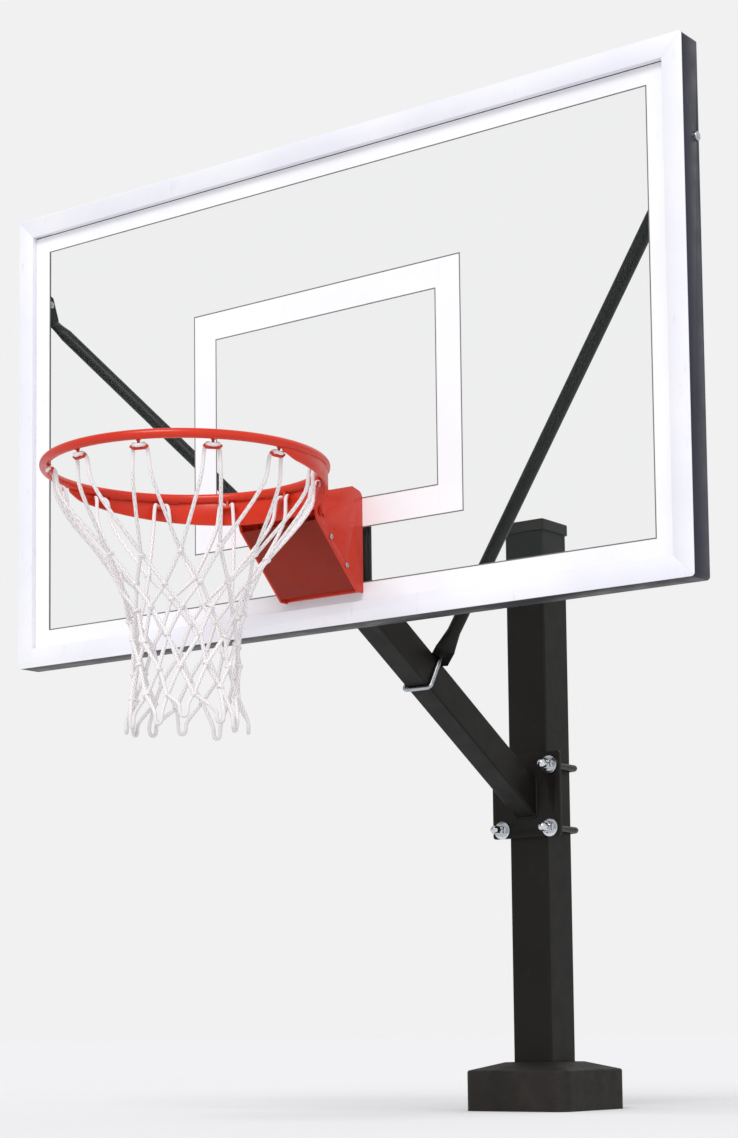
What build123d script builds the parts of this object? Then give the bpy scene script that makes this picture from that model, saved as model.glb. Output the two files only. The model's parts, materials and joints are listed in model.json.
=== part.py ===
from build123d import *
import math
import os

os.makedirs("parts", exist_ok=True)

# A deck-mounted basketball hoop. Millimetres. The origin is on the deck at the
# post's axis, +Z is up and the board faces -Y.

# ---- driving dimensions -------------------------------------------------------
# Post and foot
POST = 90.0                  # square tube, across the flats
POST_WALL = 4.0
POST_TOP = 1189.0
FOOT_PLATE = 200.0
FOOT_THICK = 12.0
ANCHOR_SPACING = 150.0
ANCHOR_HOLE_R = 7.0
COVER = 238.0
COVER_SIDE = 80.0
COVER_TOP = 96.0
COVER_CORNER = 24.0
COVER_WALL = 4.0
CAP_OVERHANG = 4.0
CAP_SKIRT = 22.0

# Backboard
BOARD_WIDTH = 1524.0
BOARD_HEIGHT = 914.0
BOARD_BOTTOM = 885.0
GLASS_FRONT = -712.0
GLASS_THICK = 10.0
FRAME_FACE = 38.0            # width of the frame seen from the front
FRAME_LIP = 12.0             # the lip stands this far in front of the glass
FRAME_REAR = 41.0            # rear face, behind the front of the glass
FRAME_WALL = 3.0
FRAME_WEB = 4.0
FRAME_CORNER_R = 6.0
MITRE_REACH = 60.0           # each side's mitre runs in past the frame's face
CORNER_KEY = 110.0           # leg of the angle inside each corner
TRIM_THICK = 2.0
SEAL_THICK = 2.0

# Arm and clamp
ARM_ANGLE = 31.0             # fall of the arm below the horizontal, degrees
ARM_WIDTH = 51.0
ARM_DEPTH = 64.0
ARM_WALL = 4.0
ARM_MID_Y = -362.0           # a point on the arm's axis
ARM_MID_Z = 809.0
CLAMP_WIDTH = 160.0
CLAMP_THICK = 8.0
CLAMP_BOTTOM = 545.0
CLAMP_TOP = 716.0
POST_BOLT_R = 6.35
POST_BOLT_X = 57.0           # each leg, sideways from the post's axis
POST_BOLT_LEVELS = (562.0, 688.5)
CARRIER_WIDTH = 184.0        # plate behind the glass
CARRIER_LOW = 45.0           # above the board's lower edge
CARRIER_HIGH = 225.0
CARRIER_THICK = 8.0
PAD_THICK = 3.0

# Struts
STRUT_R = 12.7
TAB_WIDTH = 38.0
UPPER_TAB_WIDTH = 34.0       # lies between the glass and the frame's rear
TAB_THICK = 4.0
TAB_END = 20.0               # from the hole to the tab's end
TAB_CLIP = 8.0               # clipped corners
TAB_LENGTH = 34.0            # from the hole to the bend
NECK_LENGTH = 42.0           # from the bend to the full round tube
STRUT_BOLT_R = 4.0
STRUT_STATION = -54.0        # U-bolt, along the arm from its mid point
STRUT_LEG_X = 30.5
STRUT_TOP_Y = -680.0
STRUT_TOP_Z = 745.0          # above the board's lower edge

# Fasteners
CLAMP_WASHER_R = 18.0
CLAMP_WASHER_THICK = 3.0
DOME_ACROSS = 22.0
DOME_R = 9.0
DOME_HEX = 14.0
DOME_STEM = 26.0             # from the seat to the centre of the rounded end
DOME_BORE = 30.2
M8_ACROSS = 13.0
M10_ACROSS = 16.0
THREAD_FIT = 0.05            # clearance between a nut and its thread

# Rim
RIM_R = 236.6                # centre line of the rod, 457 mm clear inside
RIM_ROD_R = 8.0
RIM_REACH = 381.0            # glass to the centre of the rim
RIM_LEVEL = 224.0            # above the board's lower edge
BAND_THICK = 4.0
BAND_REAR_DEPTH = 45.0
BAND_SIDE_DEPTH = 15.0
HOUSING_HALF = 88.0
HOUSING_WALL = 4.0
PIVOT_REACH = 120.0          # hinge pin, in front of the glass
PIVOT_LEVEL = 182.0          # above the board's lower edge
PIN_R = 6.0
PIN_CLEARANCE = 0.06
BACK_PLATE_THICK = 6.0
HOUSING_LOW = 54.0           # above the board's lower edge
RIM_BOLT_R = 5.0
RIM_BOLT_X = 63.5
RIM_BOLT_LEVELS = (89.0, 191.0)
HOOK_COUNT = 12
HOOK_FIRST_ANGLE = -8.0
HOOK_R = 2.5
HOOK_WIDTH = 30.0
HOOK_DROP = 12.0
HOOK_RING_R = 226.5          # the bars stand inside the rod, clear of the band
HOOK_ROOT = 5.6              # where the stem meets the rod, in from and below its centre line
HOOK_TURN_UP = 4.5

# Net
NET_WALL = 5.0
NET_PROFILE = (              # radius, drop below the rim's centre line
    (222.0, 24.0),
    (182.0, 99.0),
    (148.0, 148.0),
    (124.0, 189.0),
    (104.0, 235.0),
    (93.0, 290.0),
    (93.0, 380.0),
    (102.0, 440.0),
)

# ---- derived places -----------------------------------------------------------
BOARD_TOP = BOARD_BOTTOM + BOARD_HEIGHT
HALF_WIDTH = BOARD_WIDTH / 2
GLASS_BACK = GLASS_FRONT + GLASS_THICK
LIP_FRONT = GLASS_FRONT - FRAME_LIP
FRAME_BACK = GLASS_FRONT + FRAME_REAR
TUBE_FRONT = GLASS_BACK + SEAL_THICK
HALF_POST = POST / 2
CLAMP_BACK = -HALF_POST
CLAMP_FRONT = CLAMP_BACK - CLAMP_THICK
PAD_BACK = GLASS_BACK + PAD_THICK
CARRIER_BACK = PAD_BACK + CARRIER_THICK
RIM_Y = GLASS_FRONT - RIM_REACH
RIM_Z = BOARD_BOTTOM + RIM_LEVEL
PIVOT_Y = GLASS_FRONT - PIVOT_REACH
PIVOT_Z = BOARD_BOTTOM + PIVOT_LEVEL
SLOPE = math.radians(ARM_ANGLE)
ALONG = Vector(0, math.cos(SLOPE), -math.sin(SLOPE))
ABOVE = Vector(0, math.sin(SLOPE), math.cos(SLOPE))
ARM_MID = Vector(0, ARM_MID_Y, ARM_MID_Z)


# ---- helpers ------------------------------------------------------------------
def block(x0, x1, y0, y1, z0, z1):
    """A box between two corners."""
    middle = Pos((x0 + x1) / 2, (y0 + y1) / 2, (z0 + z1) / 2)
    return middle * Box(x1 - x0, y1 - y0, z1 - z0)


def bar_x(radius, x0, x1, y, z):
    """A round bar along X."""
    return Pos((x0 + x1) / 2, y, z) * Rot(0, 90, 0) * Cylinder(radius, x1 - x0)


def bar_y(radius, x, y0, y1, z):
    """A round bar along Y."""
    return Pos(x, (y0 + y1) / 2, z) * Rot(90, 0, 0) * Cylinder(radius, y1 - y0)


def bar_z(radius, x, y, z0, z1):
    """A round bar along Z."""
    return Pos(x, y, (z0 + z1) / 2) * Cylinder(radius, z1 - z0)


def bar_between(radius, start, end):
    """A round bar from one point to another."""
    plane = Plane(origin=start, z_dir=end - start)
    return extrude(plane * Circle(radius), (end - start).length)


def side_plate(points, x0, x1):
    """A plate whose outline is given in Y and Z, between two X values."""
    outline = Polyline(*[(x0, y, z) for y, z in points], close=True)
    return extrude(make_face(outline), amount=x1 - x0, dir=(1, 0, 0))


def front_plate(points, y0, y1):
    """A plate whose outline is given in X and Z, between two Y values."""
    outline = Polyline(*[(x, y0, z) for x, z in points], close=True)
    return extrude(make_face(outline), amount=y1 - y0, dir=(0, 1, 0))


def hex_y(across, x, y0, y1, z):
    """A hexagonal prism along Y."""
    radius = across / math.sqrt(3)
    corners = []
    for step in range(6):
        angle = math.radians(60 * step + 30)
        corners.append((x + radius * math.cos(angle), z + radius * math.sin(angle)))
    return front_plate(corners, y0, y1)


def hex_between(across, start, end):
    """A hexagonal prism from one point to another."""
    plane = Plane(origin=start, z_dir=end - start)
    return extrude(plane * RegularPolygon(across / math.sqrt(3), 6), (end - start).length)


def board_ring(inset, inner_inset, y0, y1, corner=0.0):
    """A rectangular ring that follows the board's outline."""
    outer = block(
        -HALF_WIDTH + inset, HALF_WIDTH - inset, y0, y1, BOARD_BOTTOM + inset, BOARD_TOP - inset
    )
    if corner:
        outer = fillet(outer.edges().filter_by(Axis.Y), corner)
    inner = block(
        -HALF_WIDTH + inner_inset, HALF_WIDTH - inner_inset, y0 - 1, y1 + 1,
        BOARD_BOTTOM + inner_inset, BOARD_TOP - inner_inset,
    )
    return outer - inner


def mitred_sides(ring):
    """The ring cut on its diagonals into its four sides."""
    low, high = BOARD_BOTTOM, BOARD_TOP
    left, right = -HALF_WIDTH, HALF_WIDTH
    margin = 2.0
    reach = MITRE_REACH
    corners = {
        "bottom": [(left - margin, low - margin), (right + margin, low - margin),
                   (right - reach, low + reach), (left + reach, low + reach)],
        "top": [(left - margin, high + margin), (right + margin, high + margin),
                (right - reach, high - reach), (left + reach, high - reach)],
        "left": [(left - margin, low - margin), (left + reach, low + reach),
                 (left + reach, high - reach), (left - margin, high + margin)],
        "right": [(right + margin, low - margin), (right - reach, low + reach),
                  (right - reach, high - reach), (right + margin, high + margin)],
    }
    front, back = LIP_FRONT - 5, FRAME_BACK + 5
    return {side: ring & front_plate(points, front, back) for side, points in corners.items()}


def arm_point(sideways, station, height):
    """A point given along and above the arm's axis."""
    return ARM_MID + ALONG * station + ABOVE * height + Vector(sideways, 0, 0)


def u_bolt(path_points, bend, radius):
    """A round rod bent to the path, with the same radius at both bends."""
    path = FilletPolyline(*path_points, radius=bend)
    start = Plane(origin=path @ 0, z_dir=path % 0)
    return sweep(start * Circle(radius), path=path)


# ---- post and foot ------------------------------------------------------------
def make_base_plate():
    plate = block(-FOOT_PLATE / 2, FOOT_PLATE / 2, -FOOT_PLATE / 2, FOOT_PLATE / 2, 0, FOOT_THICK)
    plate = fillet(plate.edges().filter_by(Axis.Z), 8)
    for x in (-ANCHOR_SPACING / 2, ANCHOR_SPACING / 2):
        for y in (-ANCHOR_SPACING / 2, ANCHOR_SPACING / 2):
            plate -= bar_z(ANCHOR_HOLE_R, x, y, -1, FOOT_THICK + 1)
    return plate


def make_post_tube():
    outer = block(-HALF_POST, HALF_POST, -HALF_POST, HALF_POST, FOOT_THICK, POST_TOP)
    outer = fillet(outer.edges().filter_by(Axis.Z), 4)
    bore = HALF_POST - POST_WALL
    return outer - block(-bore, bore, -bore, bore, FOOT_THICK - 1, POST_TOP + 1)


def cover_form(size, side_top, top, mouth, corner):
    skirt = extrude(RectangleRounded(size, size, corner), side_top)
    low_face = Pos(0, 0, side_top) * RectangleRounded(size, size, corner)
    high_face = Pos(0, 0, top) * RectangleRounded(mouth, mouth, 5)
    return skirt + loft([low_face.face(), high_face.face()])


def make_base_cover():
    outer = cover_form(COVER, COVER_SIDE, COVER_TOP, 118, COVER_CORNER)
    shoulder = outer.edges().filter_by(lambda e: abs(e.center().Z - COVER_SIDE) < 0.5)
    outer = fillet(shoulder, 5)
    inner = cover_form(
        COVER - 2 * COVER_WALL, COVER_SIDE - COVER_WALL, COVER_TOP - COVER_WALL, 110,
        COVER_CORNER - COVER_WALL
    )
    hole = HALF_POST + 0.5
    return outer - inner - block(-hole, hole, -hole, hole, 1, COVER_TOP + 1)


def make_post_cap():
    half = HALF_POST + CAP_OVERHANG
    top = POST_TOP + 4
    cap = block(-half, half, -half, half, top - CAP_SKIRT, top)
    cap = fillet(cap.edges().filter_by(Axis.Z), 6)
    cap = fillet(cap.faces().sort_by(Axis.Z)[-1].edges(), 2.5)
    seat = HALF_POST + 0.3
    return cap - block(-seat, seat, -seat, seat, top - CAP_SKIRT - 1, POST_TOP)


# ---- clamp, arm and carrier ---------------------------------------------------
def make_clamp_plate():
    half = CLAMP_WIDTH / 2
    plate = block(-half, half, CLAMP_FRONT, CLAMP_BACK, CLAMP_BOTTOM, CLAMP_TOP)
    plate = fillet(plate.edges().filter_by(Axis.Y), 6)
    for level in POST_BOLT_LEVELS:
        for x in (-POST_BOLT_X, POST_BOLT_X):
            plate -= bar_y(POST_BOLT_R + 0.5, x, CLAMP_FRONT - 1, CLAMP_BACK + 1, level)
    return plate


def make_arm_tube():
    reach = 600.0
    plane = Plane(origin=arm_point(0, -reach, 0), x_dir=(1, 0, 0), z_dir=ALONG)
    outer = extrude(plane * RectangleRounded(ARM_WIDTH, ARM_DEPTH, 4), 2 * reach)
    bore = extrude(plane * Rectangle(ARM_WIDTH - 2 * ARM_WALL, ARM_DEPTH - 2 * ARM_WALL), 2 * reach)
    span = block(-100, 100, CARRIER_BACK, CLAMP_FRONT, 0, 2000)
    return (outer - bore) & span


def make_carrier_plate():
    half = CARRIER_WIDTH / 2
    low, high = BOARD_BOTTOM + CARRIER_LOW, BOARD_BOTTOM + CARRIER_HIGH
    plate = block(-half, half, PAD_BACK, CARRIER_BACK, low, high)
    plate = fillet(plate.edges().filter_by(Axis.Y), 8)
    return plate - rim_bolt_holes(RIM_BOLT_R + 0.5)


def make_carrier_pad():
    half = CARRIER_WIDTH / 2 - 4
    low, high = BOARD_BOTTOM + CARRIER_LOW + 4, BOARD_BOTTOM + CARRIER_HIGH - 4
    pad = block(-half, half, GLASS_BACK, PAD_BACK, low, high)
    return pad - rim_bolt_holes(RIM_BOLT_R + 0.5)


def make_post_u_bolt(level):
    back = HALF_POST + POST_BOLT_R
    tip = CLAMP_FRONT - CLAMP_WASHER_THICK - DOME_BORE + 0.2
    points = [(-POST_BOLT_X, tip, level), (-POST_BOLT_X, back, level),
              (POST_BOLT_X, back, level), (POST_BOLT_X, tip, level)]
    return u_bolt(points, 14, POST_BOLT_R)


def make_clamp_washers():
    washers = []
    for level in POST_BOLT_LEVELS:
        for x in (-POST_BOLT_X, POST_BOLT_X):
            disc = bar_y(CLAMP_WASHER_R, x, CLAMP_FRONT - CLAMP_WASHER_THICK, CLAMP_FRONT, level)
            washers.append(disc - bar_y(POST_BOLT_R + 0.4, x, CLAMP_FRONT - 4, CLAMP_FRONT + 1, level))
    return washers


def make_dome_nuts():
    nuts = []
    seat = CLAMP_FRONT - CLAMP_WASHER_THICK
    for level in POST_BOLT_LEVELS:
        for x in (-POST_BOLT_X, POST_BOLT_X):
            nut = hex_y(DOME_ACROSS, x, seat - DOME_HEX, seat, level)
            nut += bar_y(DOME_R, x, seat - DOME_STEM, seat - DOME_HEX + 1, level)
            nut += Pos(x, seat - DOME_STEM, level) * Sphere(DOME_R)
            nut -= bar_y(POST_BOLT_R + THREAD_FIT, x, seat - DOME_BORE, seat + 1, level)
            nuts.append(nut)
    return nuts


# ---- struts -------------------------------------------------------------------
def strut_points(side):
    """Hole centre, bend, start of the round tube and upper hole centre of one strut."""
    foot = arm_point(side * STRUT_LEG_X, STRUT_STATION, ARM_DEPTH / 2 + TAB_THICK / 2)
    inner_face = HALF_WIDTH - FRAME_FACE
    top = Vector(side * (inner_face - TAB_THICK / 2), STRUT_TOP_Y, BOARD_BOTTOM + STRUT_TOP_Z)
    run = top - foot
    flat = (run - ABOVE * run.dot(ABOVE)).normalized()
    bend = foot + flat * TAB_LENGTH
    rise = (top - bend).normalized()
    upper_flat = Vector(0, rise.Y, rise.Z).normalized()
    upper_bend = top - upper_flat * TAB_LENGTH
    return foot, bend, upper_bend, top, flat, upper_flat


def flat_tab(hole, bend, along, normal, width):
    """The flattened end of a strut: from past its hole to the bend, with clipped corners."""
    across = normal.cross(along).normalized()
    half = width / 2
    end = hole - along * TAB_END
    shoulder = end + along * (TAB_CLIP - 1)
    tip = half - TAB_CLIP
    corners = [bend + across * half, bend - across * half,
               shoulder - across * half, end - across * tip,
               end + across * tip, shoulder + across * half]
    lifted = [point - normal * TAB_THICK / 2 for point in corners]
    plate = extrude(make_face(Polyline(*lifted, close=True)), amount=TAB_THICK, dir=normal)
    return plate - bar_between(STRUT_BOLT_R + 0.4, hole - normal * 10, hole + normal * 10)


def make_strut(side):
    foot, bend, upper_bend, top, flat, upper_flat = strut_points(side)
    inward = Vector(-side, 0, 0)
    axis = (upper_bend - bend).normalized()
    across_low = ABOVE.cross(flat).normalized()
    across_high = inward.cross(upper_flat).normalized()
    start, end = bend + axis * NECK_LENGTH, upper_bend - axis * NECK_LENGTH
    tube = bar_between(STRUT_R, start, end)

    def neck(flat_place, round_place, across, width):
        thin = Plane(origin=flat_place, x_dir=across, z_dir=round_place - flat_place)
        full = Plane(origin=round_place, x_dir=across, z_dir=round_place - flat_place)
        oval = thin * Ellipse(width / 2, TAB_THICK / 2)
        return loft([oval.face(), (full * Circle(STRUT_R)).face()])

    lower = neck(bend - axis * 1.5, start, across_low, TAB_WIDTH)
    upper = neck(upper_bend + axis * 1.5, end, across_high, UPPER_TAB_WIDTH)
    strut = tube + lower + upper
    strut += flat_tab(foot, bend, flat, ABOVE, TAB_WIDTH)
    strut += flat_tab(top, upper_bend, upper_flat * -1, inward, UPPER_TAB_WIDTH)
    return strut


def make_strut_u_bolt():
    low = -ARM_DEPTH / 2 - STRUT_BOLT_R
    high = ARM_DEPTH / 2 + TAB_THICK + 16
    points = [arm_point(-STRUT_LEG_X, STRUT_STATION, high), arm_point(-STRUT_LEG_X, STRUT_STATION, low),
              arm_point(STRUT_LEG_X, STRUT_STATION, low), arm_point(STRUT_LEG_X, STRUT_STATION, high)]
    return u_bolt(points, 7, STRUT_BOLT_R)


def make_strut_nuts():
    nuts = []
    seat = ARM_DEPTH / 2 + TAB_THICK
    for side in (-1, 1):
        place = [arm_point(side * STRUT_LEG_X, STRUT_STATION, seat + rise) for rise in (0, 1.6, 8.4)]
        nut = bar_between(9, place[0], place[1]) + hex_between(M8_ACROSS, place[1], place[2])
        beyond = arm_point(side * STRUT_LEG_X, STRUT_STATION, seat + 20)
        nuts.append(nut - bar_between(STRUT_BOLT_R + THREAD_FIT, place[0] - ABOVE, beyond))
    return nuts


def make_strut_top_bolts():
    bolts = []
    z = BOARD_BOTTOM + STRUT_TOP_Z
    for side in (-1, 1):
        inner = HALF_WIDTH - FRAME_FACE - TAB_THICK - 8
        shank = bar_x(STRUT_BOLT_R, inner, HALF_WIDTH, STRUT_TOP_Y, z)
        head = bar_x(8.0, HALF_WIDTH, HALF_WIDTH + 5, STRUT_TOP_Y, z)
        head = fillet(head.edges().sort_by(Axis.X)[-1], 3)
        bolt = shank + head
        bolts.append(bolt if side > 0 else mirror(bolt, Plane.YZ))
    return bolts


def make_strut_top_nuts():
    nuts = []
    z = BOARD_BOTTOM + STRUT_TOP_Z
    face = HALF_WIDTH - FRAME_FACE - TAB_THICK
    for side in (-1, 1):
        start, end = Vector(side * face, STRUT_TOP_Y, z), Vector(side * (face - 7), STRUT_TOP_Y, z)
        hole = bar_x(STRUT_BOLT_R + THREAD_FIT, -HALF_WIDTH, HALF_WIDTH, STRUT_TOP_Y, z)
        nuts.append(hex_between(M8_ACROSS, start, end) - hole)
    return nuts


# ---- backboard ----------------------------------------------------------------
def rim_bolt_holes(radius):
    holes = None
    for level in RIM_BOLT_LEVELS:
        for x in (-RIM_BOLT_X, RIM_BOLT_X):
            hole = bar_y(radius, x, GLASS_FRONT - 60, GLASS_BACK + 60, BOARD_BOTTOM + level)
            holes = hole if holes is None else holes + hole
    return holes


def make_glass():
    gap = FRAME_WEB + 3
    half = HALF_WIDTH - gap
    sheet = block(
        -half, half, GLASS_FRONT, GLASS_BACK, BOARD_BOTTOM + gap, BOARD_TOP - gap
    )
    sheet = fillet(sheet.edges().filter_by(Axis.Y), 4)
    return sheet - rim_bolt_holes(RIM_BOLT_R + 3)


def make_glass_bushes():
    bushes = []
    for level in RIM_BOLT_LEVELS:
        for x in (-RIM_BOLT_X, RIM_BOLT_X):
            z = BOARD_BOTTOM + level
            sleeve = bar_y(RIM_BOLT_R + 2.9, x, GLASS_FRONT, GLASS_BACK, z)
            bushes.append(sleeve - bar_y(RIM_BOLT_R + 0.2, x, GLASS_FRONT - 1, GLASS_BACK + 1, z))
    return bushes


def make_frame_sides():
    web = board_ring(0, FRAME_WEB, LIP_FRONT + TRIM_THICK, FRAME_BACK, FRAME_CORNER_R)
    tube = board_ring(0, FRAME_FACE, TUBE_FRONT, FRAME_BACK, FRAME_CORNER_R)
    hollow = board_ring(FRAME_WEB, FRAME_FACE - FRAME_WALL, TUBE_FRONT + FRAME_WALL, FRAME_BACK - FRAME_WALL)
    ring = web + tube - hollow
    z = BOARD_BOTTOM + STRUT_TOP_Z
    ring -= bar_x(STRUT_BOLT_R + 0.3, -HALF_WIDTH - 1, HALF_WIDTH + 1, STRUT_TOP_Y, z)
    return mitred_sides(ring)


def make_trim_sides():
    face = board_ring(0, FRAME_FACE, LIP_FRONT, LIP_FRONT + TRIM_THICK, FRAME_CORNER_R)
    leg = board_ring(FRAME_FACE - TRIM_THICK, FRAME_FACE, LIP_FRONT, GLASS_FRONT)
    return mitred_sides(face + leg)


def make_corner_keys():
    """An angle inside each corner of the hollow frame."""
    clear = 0.2
    low, high = FRAME_WEB + clear, FRAME_FACE - FRAME_WALL - clear
    front, back = TUBE_FRONT + FRAME_WALL + clear, FRAME_BACK - FRAME_WALL - clear
    ring = board_ring(low, high, front, back)
    keys = []
    for x0, x1 in ((-HALF_WIDTH, -HALF_WIDTH + CORNER_KEY), (HALF_WIDTH - CORNER_KEY, HALF_WIDTH)):
        for z0, z1 in ((BOARD_BOTTOM, BOARD_BOTTOM + CORNER_KEY), (BOARD_TOP - CORNER_KEY, BOARD_TOP)):
            keys.append(ring & block(x0, x1, front - 1, back + 1, z0, z1))
    return keys


def make_glass_seal():
    return board_ring(FRAME_WEB + 6, FRAME_FACE - 4, GLASS_BACK, TUBE_FRONT)


# ---- rim housing --------------------------------------------------------------
def housing_outline():
    """Side view of the housing: Y and Z corners, from the board's lower rear corner."""
    return [
        (GLASS_FRONT, BOARD_BOTTOM + HOUSING_LOW),
        (GLASS_FRONT - 18, BOARD_BOTTOM + HOUSING_LOW),
        (GLASS_FRONT - 132, BOARD_BOTTOM + 167),
        (GLASS_FRONT - 148, BOARD_BOTTOM + 213),
        (GLASS_FRONT - 94, BOARD_BOTTOM + 225),
        (GLASS_FRONT - 30, BOARD_BOTTOM + 243),
        (GLASS_FRONT, BOARD_BOTTOM + 236),
    ]


COVER_LOW = Vector(0, GLASS_FRONT - 18, BOARD_BOTTOM + HOUSING_LOW)
COVER_HIGH = Vector(0, GLASS_FRONT - 132, BOARD_BOTTOM + 167)
COVER_RUN = (COVER_HIGH - COVER_LOW).normalized()
COVER_IN = Vector(0, -COVER_RUN.Z, COVER_RUN.Y) * -1
SCREW_PLACES = [COVER_LOW + COVER_RUN * along + COVER_IN * 9 for along in (52.0, 115.0)]


def make_side_plate(side):
    inner, outer = HOUSING_HALF - HOUSING_WALL, HOUSING_HALF
    plate = side_plate(housing_outline(), inner, outer)
    rear_top = plate.edges().filter_by(Axis.X).sort_by_distance(
        (HOUSING_HALF, GLASS_FRONT, BOARD_BOTTOM + 236))[0]
    plate = fillet(rear_top, 14)
    plate -= bar_x(PIN_R + PIN_CLEARANCE, inner - 1, outer + 1, PIVOT_Y, PIVOT_Z)
    for place in SCREW_PLACES:
        plate -= bar_x(2.2, inner - 1, outer + 1, place.Y, place.Z)
    return plate if side > 0 else mirror(plate, Plane.YZ)


def make_back_plate():
    half = HOUSING_HALF - HOUSING_WALL
    plate = block(
        -half, half, GLASS_FRONT - BACK_PLATE_THICK, GLASS_FRONT,
        BOARD_BOTTOM + HOUSING_LOW + 2, BOARD_BOTTOM + 232,
    )
    return plate - rim_bolt_holes(RIM_BOLT_R + 0.4)


def make_spring_cover():
    """Slanted plate between the side plates, with a turned-in flange at each side."""
    half = HOUSING_HALF - HOUSING_WALL - 0.2
    skin, flange = 2.5, 18.0
    start, end = COVER_LOW + COVER_RUN * 6, COVER_HIGH - COVER_RUN * 2

    def strip(depth, end):
        corners = [start, end, end + COVER_IN * depth, start + COVER_IN * depth]
        return [(corner.Y, corner.Z) for corner in corners]

    cover = side_plate(strip(skin, end), -half, half)
    for x0, x1 in ((-half, -half + skin), (half - skin, half)):
        cover += side_plate(strip(flange, end - COVER_RUN * 32), x0, x1)
    cover &= block(-half, half, -2000, GLASS_FRONT - 7, 0, 3000)
    for place in SCREW_PLACES:
        cover -= bar_x(1.9, -half - 1, half + 1, place.Y, place.Z)
    return cover


def make_cover_screws():
    screws = []
    inner, outer = HOUSING_HALF - 8, HOUSING_HALF
    for place in SCREW_PLACES:
        head = bar_x(4.5, outer, outer + 2.4, place.Y, place.Z)
        head = fillet(head.edges().sort_by(Axis.X)[-1], 1.8)
        screw = head + bar_x(1.85, inner, outer, place.Y, place.Z)
        screws += [screw, mirror(screw, Plane.YZ)]
    return screws


def make_rim_bolts():
    bolts = []
    for level in RIM_BOLT_LEVELS:
        for x in (-RIM_BOLT_X, RIM_BOLT_X):
            z = BOARD_BOTTOM + level
            head = hex_y(M10_ACROSS, x, GLASS_FRONT - 12.4, GLASS_FRONT - BACK_PLATE_THICK, z)
            bolts.append(head + bar_y(RIM_BOLT_R, x, GLASS_FRONT - BACK_PLATE_THICK, CARRIER_BACK + 12, z))
    return bolts


def make_rim_nuts():
    nuts = []
    for level in RIM_BOLT_LEVELS:
        for x in (-RIM_BOLT_X, RIM_BOLT_X):
            z = BOARD_BOTTOM + level
            nut = bar_y(10.5, x, CARRIER_BACK, CARRIER_BACK + 2, z)
            nut += hex_y(M10_ACROSS, x, CARRIER_BACK + 2, CARRIER_BACK + 10, z)
            nuts.append(nut - bar_y(RIM_BOLT_R + THREAD_FIT, x, CARRIER_BACK - 1, CARRIER_BACK + 11, z))
    return nuts


def make_hinge_pin():
    half = HOUSING_HALF + 5
    pin = bar_x(PIN_R, -half, half, PIVOT_Y, PIVOT_Z)
    for side in (-1, 1):
        at = side * (HOUSING_HALF + 2.2)
        groove = bar_x(PIN_R + 2, at - 0.8, at + 0.8, PIVOT_Y, PIVOT_Z)
        pin -= groove - bar_x(PIN_R - 1.2, at - 1, at + 1, PIVOT_Y, PIVOT_Z)
    return pin


def make_pin_clips():
    clips = []
    for side in (-1, 1):
        at = side * (HOUSING_HALF + 2.2)
        disc = bar_x(9.5, at - 0.7, at + 0.7, PIVOT_Y, PIVOT_Z)
        disc -= bar_x(PIN_R - 1.1, at - 1, at + 1, PIVOT_Y, PIVOT_Z)
        mouth = block(at - 1, at + 1, PIVOT_Y - 3, PIVOT_Y + 3, PIVOT_Z - 12, PIVOT_Z)
        clips.append(disc - mouth)
    return clips


# ---- breakaway mechanism ------------------------------------------------------
TAIL_FALL = math.radians(18.0)
TAIL_RUN = Vector(0, math.cos(TAIL_FALL), -math.sin(TAIL_FALL))
TAIL_UP = Vector(0, math.sin(TAIL_FALL), math.cos(TAIL_FALL))
PIVOT = Vector(0, PIVOT_Y, PIVOT_Z)
SPRING_X = 34.0
SPRING_R = 9.0
SPRING_WIRE = 1.6
SPRING_REACH = 88.0          # from the hinge pin, along the tail
EAR_X = 58.0
EAR_THICK = 6.0
BRIDGE_LOW = BOARD_BOTTOM + 224
BRIDGE_THICK = 5.0
BRIDGE_DEPTH = 46.0
GUIDE_R = 4.0
SPRING_TURNS = 7
SPRING_SEAT_LIFT = 7.0       # the spring's foot, above the tail's middle plane


def tail_point(along, above):
    place = PIVOT + TAIL_RUN * along + TAIL_UP * above
    return (place.Y, place.Z)


def make_rim_carrier():
    """Bracket between the rim and the hinge pin, with two ears and a spring tail."""
    half = HOUSING_HALF - HOUSING_WALL - 6
    low, high = RIM_Z - 47, RIM_Z - RIM_ROD_R
    rear = GLASS_FRONT - 126
    plates = block(-half, half, RIM_Y, rear, high - 5, high)
    plates += block(-half, half, RIM_Y, rear, low, low + 5)
    plates += block(-half, half, rear - 5, rear, low, high)
    for x in (-half, -EAR_X, EAR_X - EAR_THICK, half - EAR_THICK):
        plates += block(x, x + EAR_THICK, RIM_Y, rear, low, high)
    plates -= bar_z(RIM_R + BAND_THICK, 0, RIM_Y, low - 1, high + 1)
    for x in (-EAR_X, EAR_X - EAR_THICK):
        ear = [(rear, low), (rear, low + 22), tail_point(2, 14), tail_point(103, 7),
               tail_point(103, -5), tail_point(20, -13)]
        plates += side_plate(ear, x, x + EAR_THICK)
    tail = [tail_point(73, -3), tail_point(103, -3), tail_point(103, 3), tail_point(73, 3)]
    plates += side_plate(tail, -EAR_X, EAR_X)
    plates -= bar_x(PIN_R + PIN_CLEARANCE, -EAR_X - 1, EAR_X + 1, PIVOT_Y, PIVOT_Z)
    seat = PIVOT + TAIL_RUN * SPRING_REACH
    for x in (-SPRING_X, SPRING_X):
        plates -= block(x - 5, x + 5, seat.Y - 9, seat.Y + 9, seat.Z - 20, seat.Z + 20)
    return plates


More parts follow.
